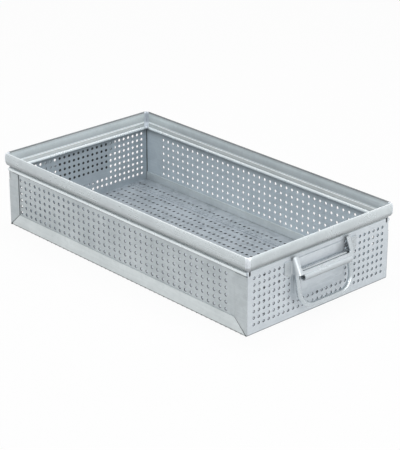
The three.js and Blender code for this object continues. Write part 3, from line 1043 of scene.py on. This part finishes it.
# What moves with which body
fixed = [wall_front, wall_back, wall_left, wall_right, edge_front, edge_back]
fixed += floors + strips + flanges + rails + welds + seams
fixed += [plate_right, plate_left, bracket_right, bracket_left]
for obj in fixed:
    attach(obj, "box")
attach(bail_right, "bail_right")
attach(bail_left, "bail_left")

# Stage

# A pale ground is white to the eye and keeps the object's shadow, and the ground right under the
# floor sheet is dark, because no light reaches it. From here on sizes are in metres.
GROUND_HALF, GROUND_DEPTH = 3.0, 0.0006
GROUND_TONE, GROUND_WHITE = 0.97, 0.93
SHADE_INSET, SHADE_DEPTH = 0.003, 0.0003
SHADE_TONE = 0.02
WHITE = (1, 1, 1, 1)


def ground(name, paint_name, half_x, half_y, depth, tone, share):
    """A level rectangle, matte, and white by a share to the eye."""
    corners = [(-half_x, -half_y), (half_x, -half_y), (half_x, half_y), (-half_x, half_y)]
    mesh = bpy.data.meshes.new(name)
    mesh.from_pydata([(x, y, -depth) for x, y in corners], [], [(0, 1, 2, 3)])
    obj = bpy.data.objects.new(name, mesh)
    bpy.context.scene.collection.objects.link(obj)
    mat, paint = new_material(paint_name)
    matte = paint.node("ShaderNodeBsdfDiffuse", {"Color": (tone, tone, tone, 1)}).outputs["BSDF"]
    glow = paint.node("ShaderNodeEmission", {"Color": WHITE, "Strength": 1.0}).outputs["Emission"]
    both = paint.node("ShaderNodeMixShader", {"Fac": paint.seen(share), 1: matte, 2: glow})
    paint.node("ShaderNodeOutputMaterial", {"Surface": both.outputs["Shader"]})
    mesh.materials.append(mat)


shade_x, shade_y = HALF_L * MM - SHADE_INSET, HALF_W * MM - SHADE_INSET
ground("ground", "ground_white", GROUND_HALF, GROUND_HALF, GROUND_DEPTH, GROUND_TONE, GROUND_WHITE)
ground("shade_under", "ground_shade", shade_x, shade_y, SHADE_DEPTH, SHADE_TONE, 0.0)

# World: plain white to the eye, and a soft sky for the object
SKY_STRENGTH = 0.45
SKY_LOW, SKY_HIGH = (0.42, 0.44, 0.46, 1), WHITE
SKY_FULL = 0.8

world = bpy.data.worlds.new("studio")
bpy.context.scene.world = world
world.use_nodes = True
sky = Paint(world.node_tree)
view = sky.node("ShaderNodeTexCoord", {}).outputs["Generated"]
ramp = sky.node("ShaderNodeValToRGB", {"Fac": sky.upward(view)})
low_end, high_end = ramp.color_ramp.elements
low_end.position, low_end.color = 0.0, SKY_LOW
high_end.position, high_end.color = SKY_FULL, SKY_HIGH
soft = sky.node("ShaderNodeBackground", {"Color": ramp.outputs["Color"], "Strength": SKY_STRENGTH})
plain = sky.node("ShaderNodeBackground", {"Color": WHITE, "Strength": 1.0})
layers = {"Fac": sky.seen(1.0), 1: soft.outputs["Background"], 2: plain.outputs["Background"]}
both = sky.node("ShaderNodeMixShader", layers)
sky.node("ShaderNodeOutputWorld", {"Surface": both.outputs["Shader"]})


# Lamps

def aim(obj, place, target):
    obj.location = place
    obj.rotation_euler = (Vector(target) - Vector(place)).to_track_quat("-Z", "Y").to_euler()
    bpy.context.scene.collection.objects.link(obj)


def lamp(name, place, target, size, power):
    data = bpy.data.lights.new(name, "AREA")
    data.shape = "RECTANGLE"
    data.size, data.size_y = size
    data.energy = power
    aim(bpy.data.objects.new(name, data), place, target)


lamp("key", place=(0.5, -1.4, 1.5), target=(0, 0, 0.04), size=(1.2, 0.8), power=7)
lamp("end_fill", place=(1.8, 0.3, 0.7), target=(0.2, 0, 0.05), size=(1.2, 0.9), power=8)
lamp("top", place=(-0.3, 0.2, 1.9), target=(0, 0, 0), size=(1.3, 1.0), power=13)

# Camera, fitted to the photograph. The photo's height and the focal length are in pixels.
PHOTO_HEIGHT, PHOTO_FOCAL = 450, 1694.03
CAMERA_PLACE = (1.47003, -1.33272, 0.88316)
CAMERA_TARGET = (0.0346, -0.0178, 0.050)
SENSOR_HEIGHT = 36
CLIP_START, CLIP_END = 0.05, 20

camera_data = bpy.data.cameras.new("photo_camera")
camera_data.sensor_fit = "VERTICAL"
camera_data.sensor_height = SENSOR_HEIGHT
camera_data.lens = PHOTO_FOCAL / PHOTO_HEIGHT * SENSOR_HEIGHT
camera_data.clip_start = CLIP_START
camera_data.clip_end = CLIP_END
camera = bpy.data.objects.new("photo_camera", camera_data)
aim(camera, CAMERA_PLACE, CAMERA_TARGET)
bpy.context.scene.camera = camera
bpy.context.scene.view_settings.view_transform = "Standard"
